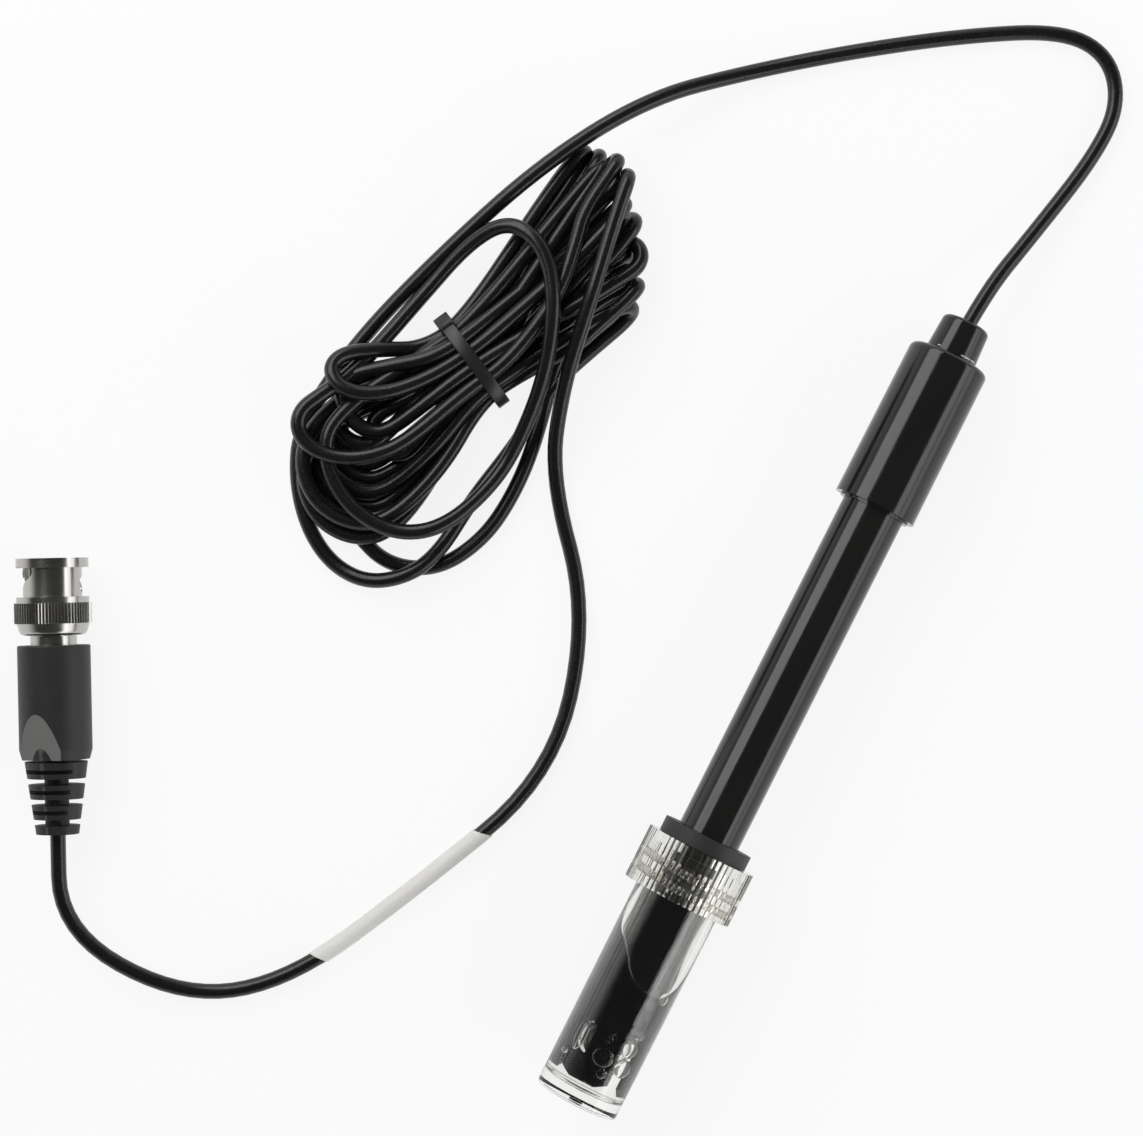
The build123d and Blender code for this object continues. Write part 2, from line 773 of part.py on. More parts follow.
# Hank: the outer shape of the tied turns, resting on the bench
hank_along = Vector(cos(radians(hank_heading)), sin(radians(hank_heading)), 0)
hank_across = hank_along.cross(Vector(0, 0, 1))
with BuildPart() as cable_hank:
    for along, offset, half_width, height in hank_sections:
        centre = Vector(*hank_tie, height / 2) + hank_along * along + hank_across * offset
        with BuildSketch(Plane(origin=centre, x_dir=hank_across, z_dir=hank_along)):
            Ellipse(half_width, height / 2)
    loft()

# Tie: a strap drawn round the hank's waist, with its head on one side
with BuildPart() as cable_tie:
    waist_half, waist_height = hank_waist[2:]
    tie_normal = hank_along.rotate(Axis.Z, -tie_skew)
    tie_plane = Plane(
        origin=Vector(*hank_tie, waist_height / 2),
        x_dir=tie_normal.cross(Vector(0, 0, 1)),
        z_dir=tie_normal,
    )
    with BuildSketch(tie_plane):
        Ellipse(waist_half + tie_thickness, waist_height / 2)
        Ellipse(waist_half, waist_height / 2 - tie_thickness, mode=Mode.SUBTRACT)
    extrude(amount=tie_width / 2, both=True)
    with BuildSketch(tie_plane):
        with Locations((-waist_half - tie_thickness / 2, 0)):
            RectangleRounded(tie_head - tie_thickness, tie_head, tie_thickness / 2)
    extrude(amount=tie_head / 2, both=True)

pieces = {
    "body_tube": body_tube,
    "body_cap": body_cap,
    "cap_seal": cap_seal,
    "cable_bush": cable_bush,
    "glass_stem": glass_stem,
    "stem_stopper": stem_stopper,
    "stem_seal": stem_seal,
    "junction": junction,
    "measuring_wire": measuring_wire,
    "reference_wire": reference_wire,
    "core_conductor": core_conductor,
    "shield_pigtail": shield_pigtail,
    "storage_bottle": storage_bottle,
    "bottle_cap": bottle_cap,
    "seal_grommet": seal_grommet,
    "coupling_nut": coupling_nut,
    "plug_body": plug_body,
    "contact_insulator": contact_insulator,
    "centre_pin": centre_pin,
    "mating_gasket": mating_gasket,
    "spring_washer": spring_washer,
    "rear_collar": rear_collar,
    "crimp_ferrule": crimp_ferrule,
    "plug_core": plug_core,
    "plug_boot": plug_boot,
    "cable_lead": cable_lead,
    "cable_hank": cable_hank,
    "cable_tail": cable_tail,
    "cable_in_boot": cable_in_boot,
    "cable_label": cable_label,
    "cable_tie": cable_tie,
}

os.makedirs("parts", exist_ok=True)
for name, piece in pieces.items():
    piece.part.label = name
    export_step(piece.part, f"parts/{name}.step")

cable_section = 3.14159265 * cable_diameter**2 / 4
for name, piece, route, length in (
    ("lead", cable_lead, lead_route, lead_length),
    ("tail", cable_tail, tail_route, tail_length),
):
    print(name, "length", round(length, 1), "bend radii", [round(r, 1) for r in bend_radii(route)])
    print(name, "volume", round(piece.part.volume, 1), "as a rod", round(cable_section * length, 1))
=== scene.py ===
# %% [markdown]
# # A pH electrode, dressed
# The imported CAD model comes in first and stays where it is: it is the frame that every
# piece below is hung on. Metres, +Z up, the electrode along Y with its bottle towards -Y.

from math import cos, degrees, pi, radians, sin, tan

import bmesh
import bpy
from mathutils import Matrix, Vector


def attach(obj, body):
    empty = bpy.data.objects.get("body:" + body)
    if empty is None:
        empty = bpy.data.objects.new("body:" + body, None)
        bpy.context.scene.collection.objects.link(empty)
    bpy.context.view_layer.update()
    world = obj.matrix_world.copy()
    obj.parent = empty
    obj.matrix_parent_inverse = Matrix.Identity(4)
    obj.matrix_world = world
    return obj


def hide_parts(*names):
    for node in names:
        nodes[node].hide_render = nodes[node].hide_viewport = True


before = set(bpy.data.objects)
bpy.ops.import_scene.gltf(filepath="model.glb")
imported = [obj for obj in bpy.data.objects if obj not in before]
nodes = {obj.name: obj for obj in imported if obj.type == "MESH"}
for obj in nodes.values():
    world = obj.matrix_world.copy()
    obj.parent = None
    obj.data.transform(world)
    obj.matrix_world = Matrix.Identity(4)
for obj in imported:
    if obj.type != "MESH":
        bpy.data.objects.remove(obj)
bpy.context.view_layer.update()
MM = 0.001

# %% [markdown]
# ## Camera
# The picture is taken from straight above, with the bench square to the lens. A long lens
# about half a metre up shows the round parts almost without perspective. The camera is only
# turned about the vertical, so that the electrode slants across the frame.

# %% Camera
CAMERA_SPOT = Vector((-45.1, 6.7, 545.0)) * MM
CAMERA_TURN = radians(26.88)
VIEW_WIDTH = 215.6 * MM

camera_data = bpy.data.cameras.new("camera")
camera_data.sensor_width = 36.0
camera_data.lens = camera_data.sensor_width * CAMERA_SPOT.z / VIEW_WIDTH
camera_data.clip_start = 0.01
camera = bpy.data.objects.new("camera", camera_data)
camera.location = CAMERA_SPOT
camera.rotation_euler = (0, 0, CAMERA_TURN)
bpy.context.scene.collection.objects.link(camera)
bpy.context.scene.camera = camera
bpy.context.scene.view_settings.view_transform = "Standard"
print("lens", round(camera_data.lens, 1), "mm")

# %% [markdown]
# ## Light
# Gloss black plastic has almost no colour of its own: what it shows is the room. Long softboxes
# lie along the electrode. The left one gives the crisp grey strip beside the crown of each tube, the
# right one and a weaker one below it the broader sheen, and the dark ceiling between them the black
# band. One big lamp could light it all, but it would give one broad sheen and no black band. A wide
# fill overhead lights the matte pieces, and gloss and clear plastic don't show it. Clear plastic doesn't
# show the left one either, which would be a smoky strip in the bottle. A lamp's brightness is set as a
# radiance, so that its size can change without changing that.

# %% Lamps
def softbox(name, lean, spread, distance, length, radiance, shift=0.0):
    """A flat lamp that leans over the bench at an angle from the vertical and faces its middle."""
    width = 2 * distance * tan(radians(spread / 2))
    lamp_data = bpy.data.lights.new(name, "AREA")
    lamp_data.shape = "RECTANGLE"
    lamp_data.size = width
    lamp_data.size_y = length
    lamp_data.energy = radiance * pi * width * length
    lamp = bpy.data.objects.new(name, lamp_data)
    out = Vector((sin(radians(lean)), 0, cos(radians(lean))))
    lamp.location = out * distance + Vector((0, shift, 0))
    lamp.rotation_euler = (0, radians(lean), 0)
    lamp.visible_camera = False
    bpy.context.scene.collection.objects.link(lamp)
    return lamp


left = softbox("left_softbox", lean=-49.5, spread=33.4, distance=0.60, length=0.9, radiance=3.2, shift=0.40)
left.visible_transmission = False
softbox("right_softbox", lean=55.0, spread=15.2, distance=0.65, length=1.1, radiance=2.4)
softbox("right_low_softbox", lean=72.0, spread=18.0, distance=0.65, length=1.1, radiance=1.2)
fill = softbox("top_fill", lean=0.0, spread=60.0, distance=1.2, length=1.4, radiance=0.55)
fill.visible_glossy = False
fill.visible_transmission = False

# %% [markdown]
# ## Floor and room
# The bench is plain white card. Most of its white is its own, for rays from the camera and for those
# that metal, gloss or clear plastic send on, so that the background stays white while the object's
# soft shadow still falls on it. Other rays see plain card, so matte pieces get no light from that white.
# The room has pale walls and a dark ceiling, which gives the black plastic its dark crown.

# %% Floor and world
FLOOR_HALF = 3.0
OWN_WHITE = 0.87
WALL_LEVEL = 0.18
CEILING_LEVEL = 0.5

floor_mesh = bmesh.new()
bmesh.ops.create_grid(floor_mesh, x_segments=1, y_segments=1, size=FLOOR_HALF)
floor_data = bpy.data.meshes.new("floor")
floor_mesh.to_mesh(floor_data)
floor_mesh.free()
floor = bpy.data.objects.new("floor", floor_data)
bpy.context.scene.collection.objects.link(floor)

card = bpy.data.materials.new("white_card")
card.use_nodes = True
tree = card.node_tree
tree.nodes.clear()
paper = tree.nodes.new("ShaderNodeBsdfDiffuse")
paper.inputs["Color"].default_value = (0.95, 0.95, 0.95, 1)
own_white = tree.nodes.new("ShaderNodeEmission")
own_white.inputs["Strength"].default_value = 1.0
share = tree.nodes.new("ShaderNodeMixShader")
card_out = tree.nodes.new("ShaderNodeOutputMaterial")
card_ray = tree.nodes.new("ShaderNodeLightPath")
seen = tree.nodes.new("ShaderNodeMath")
seen.operation = "ADD"
tree.links.new(card_ray.outputs["Is Camera Ray"], seen.inputs[0])
tree.links.new(card_ray.outputs["Is Glossy Ray"], seen.inputs[1])
seen_through = tree.nodes.new("ShaderNodeMath")
seen_through.operation = "MAXIMUM"
tree.links.new(seen.outputs["Value"], seen_through.inputs[0])
tree.links.new(card_ray.outputs["Is Transmission Ray"], seen_through.inputs[1])
own_share = tree.nodes.new("ShaderNodeMapRange")
own_share.inputs["To Max"].default_value = OWN_WHITE
tree.links.new(seen_through.outputs["Value"], own_share.inputs["Value"])
tree.links.new(own_share.outputs["Result"], share.inputs["Fac"])
tree.links.new(paper.outputs["BSDF"], share.inputs[1])
tree.links.new(own_white.outputs["Emission"], share.inputs[2])
tree.links.new(share.outputs["Shader"], card_out.inputs["Surface"])
floor_data.materials.append(card)

room = bpy.data.worlds.new("room")
room.use_nodes = True
bpy.context.scene.world = room
tree = room.node_tree
tree.nodes.clear()
where = tree.nodes.new("ShaderNodeTexCoord")
height = tree.nodes.new("ShaderNodeSeparateXYZ")
tree.links.new(where.outputs["Generated"], height.inputs["Vector"])
dusk = tree.nodes.new("ShaderNodeValToRGB")
wall_foot, ceiling = dusk.color_ramp.elements
wall_foot.color = (0.90, 0.90, 0.90, 1)
ceiling.position = CEILING_LEVEL
ceiling.color = (0.05, 0.05, 0.05, 1)
wall_top = dusk.color_ramp.elements.new(WALL_LEVEL)
wall_top.color = (0.75, 0.75, 0.75, 1)
tree.links.new(height.outputs["Z"], dusk.inputs["Fac"])
sky = tree.nodes.new("ShaderNodeBackground")
tree.links.new(dusk.outputs["Color"], sky.inputs["Color"])
world_out = tree.nodes.new("ShaderNodeOutputWorld")
tree.links.new(sky.outputs["Background"], world_out.inputs["Surface"])
print("floor and room ready")

# %% [markdown]
# ## Cable: the free runs
# The cable leaves the bush, swings round on the bench and comes to the hank from its far end;
# after the hank its tail runs down the bench and up into the boot. The points are the ones the
# CAD tubes were drawn through. As control points of a smooth spline they give an easy line.

# %% Points of the free runs
BENCH = 1.5
CABLE_DIAMETER = 2.9 * MM

lead_points = [
    (0.0, 69.37, 7.83),
    (0.0, 85.37, 7.38),
    (4.0, 102.5, 3.0),
    (7.6, 120.0, BENCH),
    (7.4, 131.0, BENCH),
    (1.4, 138.4, BENCH),
    (-8.5, 138.6, BENCH),
    (-24.5, 129.4, BENCH),
    (-42.0, 117.2, BENCH),
    (-58.5, 104.2, BENCH),
    (-72.0, 91.2, 6.5),
    (-83.5, 71.5, 10.0),
    (-93.0, 48.5, 5.5),
    (-100.5, 26.0, BENCH),
]
tail_points = [
    (-64.2, 51.6, 13.0),
    (-61.7, 35.6, 8.0),
    (-56.3, 20.1, BENCH),
    (-38.5, 0.5, BENCH),
    (-30.5, -29.5, BENCH),
    (-44.0, -60.0, BENCH),
    (-57.5, -87.0, BENCH),
    (-74.5, -98.8, BENCH),
    (-99.5, -96.6, 7.15),
    (-109.1, -78.6, 7.15),
    (-117.0, -63.8, 7.15),
]
print("free runs", len(lead_points), "and", len(tail_points), "points")

# %% [markdown]
# ## Cable: the tied hank
# Fourteen turns are drawn together by the tie and fan out on both sides of it. Each strand has a
# place in the tie, in one of four rows. At the near end a turn makes a flat bend, and a wide one
# bulges on its way there, as a springy cable does. At the far end it folds back steeply, one strand
# over the other, and only one turn lies flat there too. The turns could be drawn by hand, point by
# point; but the hank is easier to change when it is written as it was wound, turn by turn, from a few
# numbers each. These functions write the points.

# %% Hank tools
HANK_TIE = Vector((-79.1, 32.8))
HANK_HEADING = radians(73.5)
TIE_GRIP = 4.5
TIE_LEAN = 0.22
TIE_ROWS = (2.6, 4.95, 7.25, 9.45)
STEEP_RUN = 11.0
STEEP_FAN = 0.84
BEND_ANGLES = (12, 51, 90, 129, 168)
BEND_EASE = 1.05
BULGE = 0.38
BULGE_FROM = 6.0

along_hank = Vector((cos(HANK_HEADING), sin(HANK_HEADING)))
across_hank = Vector((sin(HANK_HEADING), -cos(HANK_HEADING)))


def on_hank(along, across, height):
    """A place on the bench in mm, from its distances along and across the hank."""
    spot = HANK_TIE + along_hank * along + across_hank * across
    return (spot.x, spot.y, height)


def strand(across, row):
    """One strand down through the tie; the strands cross the hank's line at a small slant."""
    return [(grip, across + TIE_LEAN * grip, TIE_ROWS[row]) for grip in (TIE_GRIP, -TIE_GRIP)]


def flat_bend(along, across, half, depth, heading, start, end, right_first):
    """Five points round a flat bend that points along a heading, from one height to another."""
    ahead = Vector((cos(radians(heading)), sin(radians(heading)))) * depth * BEND_EASE
    right = Vector((-sin(radians(heading)), cos(radians(heading)))) * half * BEND_EASE
    points = []
    for step, angle in enumerate(BEND_ANGLES):
        turned = radians(angle if right_first else 180 - angle)
        spot = Vector((along, across)) + right * cos(turned) + ahead * sin(turned)
        points.append((spot.x, spot.y, start + (end - start) * step / (len(BEND_ANGLES) - 1)))
    return points


def steep_bend(along, across, lean, height_out, height_back):
    """Four points of a steep fold at the hank's far end; the lean parts its two strands."""
    back = along - STEEP_RUN
    return [
        (back, across * STEEP_FAN - lean, height_out),
        (along, across - lean / 2, height_out),
        (along, across + lean / 2, height_back),
        (back, across * STEEP_FAN + lean, height_back),
    ]


def eased(start, end, push):
    """The point midway between two others, pushed sideways."""
    along, across, height = ((a + b) / 2 for a, b in zip(start, end))
    return [(along, across + push, height)]


def turn(way_in, bend, way_out):
    """A whole turn: down through the tie, round a near bend and up through the tie again."""
    down, back_up, rounded = strand(*way_in), strand(*way_out)[::-1], flat_bend(*bend)
    half, right_first = bend[2], bend[-1]
    push = BULGE * max(0, half - BULGE_FROM) * (-1 if right_first else 1)
    return (
        down
        + eased(down[-1], rounded[0], push)
        + rounded
        + eased(rounded[-1], back_up[0], -push)
        + back_up
    )


print("tie rows", TIE_ROWS)

# %% [markdown]
# Now the winding itself, in the order the cable runs. Five loops are given point by point: the
# outer one, which the lead runs into; the one beside it; the small one on top of the rest; the loose
# one that arches over the bundle past the tie; and the broad one after it. A flat bend is given by its
# middle, half width, depth, heading, two heights and whether its right side comes first; a fold by its
# tip, its lean and two heights; and a strand by its place and row.

# %% Hank, as it was wound
outer_loop = [
    (-31.0, -15.4, BENCH),
    (-38.6, -9.4, BENCH),
    (-44.0, -1.4, BENCH),
    (-45.9, 7.0, BENCH),
    (-43.5, 14.5, 3.0),
    (-36.7, 19.2, 4.4),
    (-29.5, 19.9, 3.2),
    (-18.9, 17.6, BENCH),
    (-5.9, 16.5, BENCH),
    (8.0, 13.8, BENCH),
]
side_loop = [
    (10.0, 11.6, BENCH),
    (3.9, 15.2, BENCH),
    (-6.0, 20.2, BENCH),
    (-14.7, 23.0, BENCH),
    (-22.5, 24.1, BENCH),
    (-30.8, 22.6, BENCH),
    (-36.0, 18.6, BENCH),
    (-38.8, 13.0, BENCH),
    (-38.4, 6.5, BENCH),
    (-37.6, 0.5, BENCH),
    (-36.8, -5.5, BENCH),
    (-34.0, -10.0, BENCH),
    (-26.0, -12.0, BENCH),
]
top_loop = [
    (-10.6, -4.6, 9.8),
    (-15.2, -7.0, 10.8),
    (-19.0, -10.6, 11.5),
    (-20.6, -14.6, 11.5),
    (-19.0, -18.2, 10.5),
    (-15.2, -18.0, 9.0),
    (-10.0, -13.6, 7.0),
]
arch = [
    (-14.0, 18.6, 4.6),
    (-4.6, 16.6, 5.5),
    (6.8, 12.2, 10.0),
    (16.2, 5.8, 13.0),
    (22.2, -0.6, 13.0),
    (24.6, -7.0, 12.5),
    (22.8, -13.0, 10.5),
    (15.0, -15.5, 7.0),
    (3.0, -15.3, 4.5),
    (-10.0, -14.6, 6.0),
    (-18.0, -14.6, 8.0),
]
broad_loop = [
    (-24.0, -15.8, 9.6),
    (-28.6, -16.6, 10.3),
    (-31.8, -14.4, 10.3),
    (-32.4, -10.0, 10.3),
    (-30.2, -5.2, 10.3),
    (-26.0, -1.2, 10.3),
    (-19.5, 1.8, 10.0),
]
# loose strands on their way to a fold
side_strand = [(15.5, 12.2, 5.2)]
top_strand = [(19.6, 3.8, 11.5), (29.2, -0.8, 11.0)]
# the fold that leads into the tail
last_fold = [
    (33.4, -2.8, 6.5),
    (44.6, -2.9, 6.5),
    (44.6, -1.9, 12.5),
    (38.4, 0.9, 12.8),
    (31.0, 4.6, 13.0),
]

hank_points = (
    outer_loop
    + steep_bend(27.7, 14.7, -2.2, BENCH, 7.0)
    + turn((6.0, 2), (-25.6, -4.2, 9.3, 7.7, 190, 4.2, 4.2, False), (-4.8, 1))
    + flat_bend(32.2, 7.0, 3.4, 4.6, 15, 4.0, 8.0, False)
    + turn((1.43, 3), (-18.3, -8.5, 6.3, 5.0, 192, 7.5, 7.5, False), (-4.28, 3))
    + steep_bend(40.6, 0.7, 1.2, 5.2, 10.2)
    + strand(-1.43, 3)
    + top_loop
    + strand(-7.2, 1)[::-1]
    + steep_bend(42.9, -11.6, 1.2, 6.4, BENCH)
    + turn((-6.0, 0), (-28.5, -1.8, 11.2, 10.4, 188, 6.6, 6.6, True), (7.2, 1))
    + side_strand
    + steep_bend(31.6, 12.5, -2.0, 7.0, BENCH)
    + side_loop
    + strand(0.0, 1)[::-1]
    + steep_bend(40.0, 3.7, 2.6, BENCH, 7.0)
    + turn((4.8, 1), (-30.5, 0.0, 11.0, 10.5, 185, 3.8, 3.8, False), (-3.6, 0))
    + steep_bend(44.2, -9.2, 1.3, BENCH, 7.0)
    + turn((-1.2, 0), (-24.5, -4.5, 7.5, 6.5, 190, 1.8, 1.8, True), (6.0, 0))
    + steep_bend(34.1, 7.6, -1.7, BENCH, 6.4)
    + turn((3.6, 0), (-24.1, -5.0, 5.2, 4.4, 190, BENCH, BENCH, False), (1.2, 0))
    + steep_bend(38.6, 3.0, 1.2, BENCH, 6.4)
    + turn((3.6, 2), (-26.8, -3.0, 10.3, 8.8, 190, 2.4, 2.4, False), (-2.4, 1))
    + steep_bend(43.0, -6.8, -1.2, 3.5, 8.2)
    + strand(-6.0, 2)
    + flat_bend(-23.0, 3.0, 14.5, 12.2, 180, 9.0, 9.0, True)
    + arch
    + broad_loop
    + strand(4.28, 3)[::-1]
    + top_strand
    + steep_bend(45.4, -5.8, -1.2, 11.0, 6.0)
    + turn((2.4, 1), (-19.0, -1.5, 4.6, 4.6, 188, 4.0, 4.0, False), (1.2, 2))
    + steep_bend(43.4, -7.4, 1.2, 3.5, 8.2)
    + turn((-1.2, 2), (-21.0, -7.8, 5.6, 5.6, 190, 5.2, 5.2, False), (-3.6, 2))
    + last_fold
)
print("hank points", len(hank_points))

# %% [markdown]
# The whole cable is one spline: lead, hank and tail in a row. It could be a swept mesh; but as a
# curve with a round bevel its centreline stays editable and its length can be measured. A point's
# radius multiplies the bevel and also widens the curve's box, so it is a millimetre and not a whole
# metre, and the bevel is given in millimetres.

# %% Cable curve
route = [Vector(p) * MM for p in lead_points]
route += [Vector(on_hank(*p)) * MM for p in hank_points]
route += [Vector(p) * MM for p in tail_points]


def cable_curve(name, points, radius):
    """A curve with a round section through a row of control points."""
    data = bpy.data.curves.new(name, "CURVE")
    data.dimensions = "3D"
    spline = data.splines.new("NURBS")
    spline.points.add(len(points) - 1)
    for spot, point in zip(points, spline.points):
        point.co = (*spot, 1)
        point.radius = MM
    spline.order_u = 3
    spline.use_endpoint_u = True
    spline.resolution_u = 8
    data.bevel_depth = radius / MM
    data.bevel_resolution = 5
    data.use_fill_caps = True
    piece = bpy.data.objects.new(name, data)
    bpy.context.scene.collection.objects.link(piece)
    return piece


def line_of(points):
    """The spline's own points, close together, read from a curve with no thickness."""
    bare = cable_curve("bare_line", points, 0)
    bpy.context.view_layer.update()
    mesh = bpy.data.meshes.new_from_object(bare.evaluated_get(bpy.context.evaluated_depsgraph_get()))
    line = [v.co.copy() for v in mesh.vertices]
    bpy.data.objects.remove(bare)
    return line


cable_line = line_of(route)
cable = cable_curve("signal_cable", route, CABLE_DIAMETER / 2)
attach(cable, "electrode")
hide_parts("cable_lead", "cable_hank", "cable_tail", "cable_in_boot")

# %% [markdown]
# ## Mesh tools
# The small pieces below are made of rings of points joined by faces. One function joins the
# rings, and one turns a filled bmesh into a piece that rides a body. Edges sharper than a crease angle
# stay sharp, or smooth shading would bend the light along a whole side of the liquid.

# %% Mesh tools
CREASE = radians(35)


def skin(bm, rings, closed=False, caps=True):
    """Joins rings of equal length with quads; caps fill the first and the last ring."""
    rows = [[bm.verts.new(p) for p in ring] for ring in rings]
    pairs = list(zip(rows, rows[1:]))
    if closed:
        pairs.append((rows[-1], rows[0]))
    faces = []
    for lower, upper in pairs:
        for i in range(len(lower)):
            j = (i + 1) % len(lower)
            faces.append(bm.faces.new((lower[i], lower[j], upper[j], upper[i])))
    if caps and not closed:
        faces.append(bm.faces.new(rows[0][::-1]))
        faces.append(bm.faces.new(rows[-1]))
    bmesh.ops.recalc_face_normals(bm, faces=faces)
    return faces


def make_piece(name, bm, body, smooth=True):
    """A piece from a filled bmesh, on a body, its creases kept sharp."""
    for face in bm.faces:
        face.smooth = smooth
    for edge in bm.edges:
        edge.smooth = len(edge.link_faces) == 2 and edge.calc_face_angle() < CREASE
    data = bpy.data.meshes.new(name)
    bm.to_mesh(data)
    bm.free()
    piece = bpy.data.objects.new(name, data)
    bpy.context.scene.collection.objects.link(piece)
    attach(piece, body)
    print(name, len(data.polygons), "faces on", body)
    return piece


print("edges stay sharp from", round(degrees(CREASE)), "degrees")

# %% [markdown]
# ## Cable tie
# A nylon strap drawn round the waist of the hank: a flat band swept round an oval, with its square
# head on the left where the strap's end goes in. The oval could be a curve with a bevel object; as
# rings of four corners its width and thickness stay exact, and the edges take one small bevel.

# %% Cable tie
TIE_WIDTH = 2.5
TIE_THICKNESS = 1.1
TIE_SKEW = radians(10.0)
TIE_HALF = 9.1
TIE_HEIGHT = 12.0
TIE_STEPS = 96
TIE_EDGE = 0.18
SQUARE_EDGE = 1.0
HEAD_SIZE = (3.0, 2.7, 2.2)
HEAD_PLACE = radians(150)
HEAD_OUT = 0.6
HEAD_TILT = radians(-42)

tie_mesh = bmesh.new()
tie_turn = HANK_HEADING - TIE_SKEW
tie_along = Vector((cos(tie_turn), sin(tie_turn), 0))
tie_side = Vector((sin(tie_turn), -cos(tie_turn), 0))
tie_middle = Vector((*HANK_TIE, TIE_HEIGHT / 2))
up = Vector((0, 0, 1))
band = []
for step in range(TIE_STEPS):
    angle = 2 * pi * step / TIE_STEPS
    ring = []
    for reach, shift in ((0, -0.5), (1, -0.5), (1, 0.5), (0, 0.5)):
        half = TIE_HALF + TIE_THICKNESS * reach
        rise = TIE_HEIGHT / 2 - TIE_THICKNESS * (1 - reach)
        spot = tie_middle + tie_side * half * cos(angle) + up * rise * sin(angle)
        ring.append((spot + tie_along * TIE_WIDTH * shift) * MM)
    band.append(ring)
skin(tie_mesh, band, closed=True)
head_side = tie_side * (TIE_HALF + HEAD_OUT) * cos(HEAD_PLACE)
head_rise = up * (TIE_HEIGHT / 2) * sin(HEAD_PLACE)
head_spot = tie_middle + head_side + head_rise
head_turn = Matrix.Rotation(tie_turn, 3, "Z") @ Matrix.Rotation(HEAD_TILT, 3, "X")
head = bmesh.ops.create_cube(tie_mesh, size=1.0)
for vert in head["verts"]:
    corner = Vector(a * b for a, b in zip(vert.co, HEAD_SIZE))
    vert.co = (head_spot + head_turn @ corner) * MM
sharp = [e for e in tie_mesh.edges if len(e.link_faces) == 2 and e.calc_face_angle() > SQUARE_EDGE]
bmesh.ops.bevel(
    tie_mesh, geom=sharp, offset=TIE_EDGE * MM, affect="EDGES", segments=2, profile=0.5, material=-1
)
tie = make_piece("nylon_tie", tie_mesh, "electrode")
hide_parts("cable_tie")

# %% [markdown]
# ## Cable label
# A strip of pale film wrapped once round the cable and stuck to itself. Its section is therefore
# not a circle but a slow spiral that ends in a small step, the seam. The tube follows the cable's
# own line between two places on it, and its ends are cut a little askew. It is left bare.

# %% Cable label
LABEL_LENGTH = 36.8 * MM
LABEL_START = Vector((-36.1, -43.7, BENCH)) * MM
LABEL_SEGMENTS = 28
LABEL_INNER = 1.40
LABEL_OUTER = 1.56
LABEL_STEP = 0.14
SEAM_ANGLE = 0.6
END_SLANT = 0.35


def nearest(spot):
    """The number of the cable's point that lies closest to a place."""
    return min(range(len(cable_line)), key=lambda i: (cable_line[i] - spot).length)


first = nearest(LABEL_START)
label_path = [cable_line[first]]
covered = 0.0
for spot in cable_line[first + 1 :]:
    covered += (spot - label_path[-1]).length
    label_path.append(spot)
    if covered >= LABEL_LENGTH:
        break
label_mesh = bmesh.new()
label_rings = []
for i, spot in enumerate(label_path):
    ahead = (label_path[min(i + 1, len(label_path) - 1)] - label_path[max(i - 1, 0)]).normalized()
    side = ahead.cross(up).normalized()
    top = side.cross(ahead)
    askew = END_SLANT if i in (0, len(label_path) - 1) else 0
    outer, inner = [], []
    for k in range(LABEL_SEGMENTS):
        angle = 2 * pi * k / LABEL_SEGMENTS
        arm = side * cos(angle + SEAM_ANGLE) + top * sin(angle + SEAM_ANGLE)
        slant = ahead * askew * arm.dot(side) * CABLE_DIAMETER
        outer.append(spot + arm * (LABEL_OUTER + LABEL_STEP * k / LABEL_SEGMENTS) * MM + slant)
        inner.append(spot + arm * LABEL_INNER * MM + slant)
    label_rings.append(outer)
    last_inner = inner
    if i == 0:
        first_inner = inner
skin(label_mesh, [first_inner] + label_rings + [last_inner], caps=False)
label = make_piece("cable_wrap", label_mesh, "electrode", smooth=False)
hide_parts("cable_label")
print("label covers", round(covered / MM, 1), "mm")

# %% [markdown]
# The cable isn't rigid like the rest: it is one curve of its own, hung on the electrode.

# %% [markdown]
# ## Round the electrode's axis
# Everything in the bottle is placed by a station along the electrode, a radius and an angle round
# its axis, counted from straight up. The axis leans a little because the screw cap is the widest part.

# %% Places round the axis
ELECTRODE_TOP = Vector((0, 80.567, 7.51))
LEAN = 0.028155
axis_down = Vector((0, -cos(LEAN), sin(LEAN)))
axis_up = Vector((0, sin(LEAN), cos(LEAN)))
BOTTLE_LIP, BOTTLE_BED, BOTTLE_END = 113.3, 158.4, 161.1
SHAFT_RADIUS = 6.0
BORE_RADIUS = 6.95
BORE_DRAFT = 0.2


def round_axis(station, radius, angle):
    """A place in metres from its station and radius in mm and its angle in degrees."""
    turned = radians(angle)
    arm = Vector((sin(turned), 0, 0)) + axis_up * cos(turned)
    return (ELECTRODE_TOP + axis_down * station + arm * radius) * MM


def bore_radius(station):
    """The bottle's bore, which narrows a little from its lip to its end so that it leaves the mould."""
    return BORE_RADIUS - BORE_DRAFT * (station - BOTTLE_LIP) / (BOTTLE_END - BOTTLE_LIP)


print("bottle end at", [round(x / MM, 1) for x in round_axis(BOTTLE_END, 0, 0)])

# %% [markdown]
# ## Thread of the bottle and of its cap
# The screw cap is clear, so its thread shows through as rows of glints. Each thread is a three-sided
# ridge that runs round a helix of 3 mm pitch and tapers almost to nothing at both ends. The bottle's and the
# cap's ridges are half a pitch apart, so the one passes between the other as the cap turns.

# %% Threads
THREAD_FIRST = 119.2
THREAD_PITCH = 3.0
THREAD_STEPS = 72
RIDGE_HALF = 0.75
END_FADE = 6
END_SHARE = 0.05


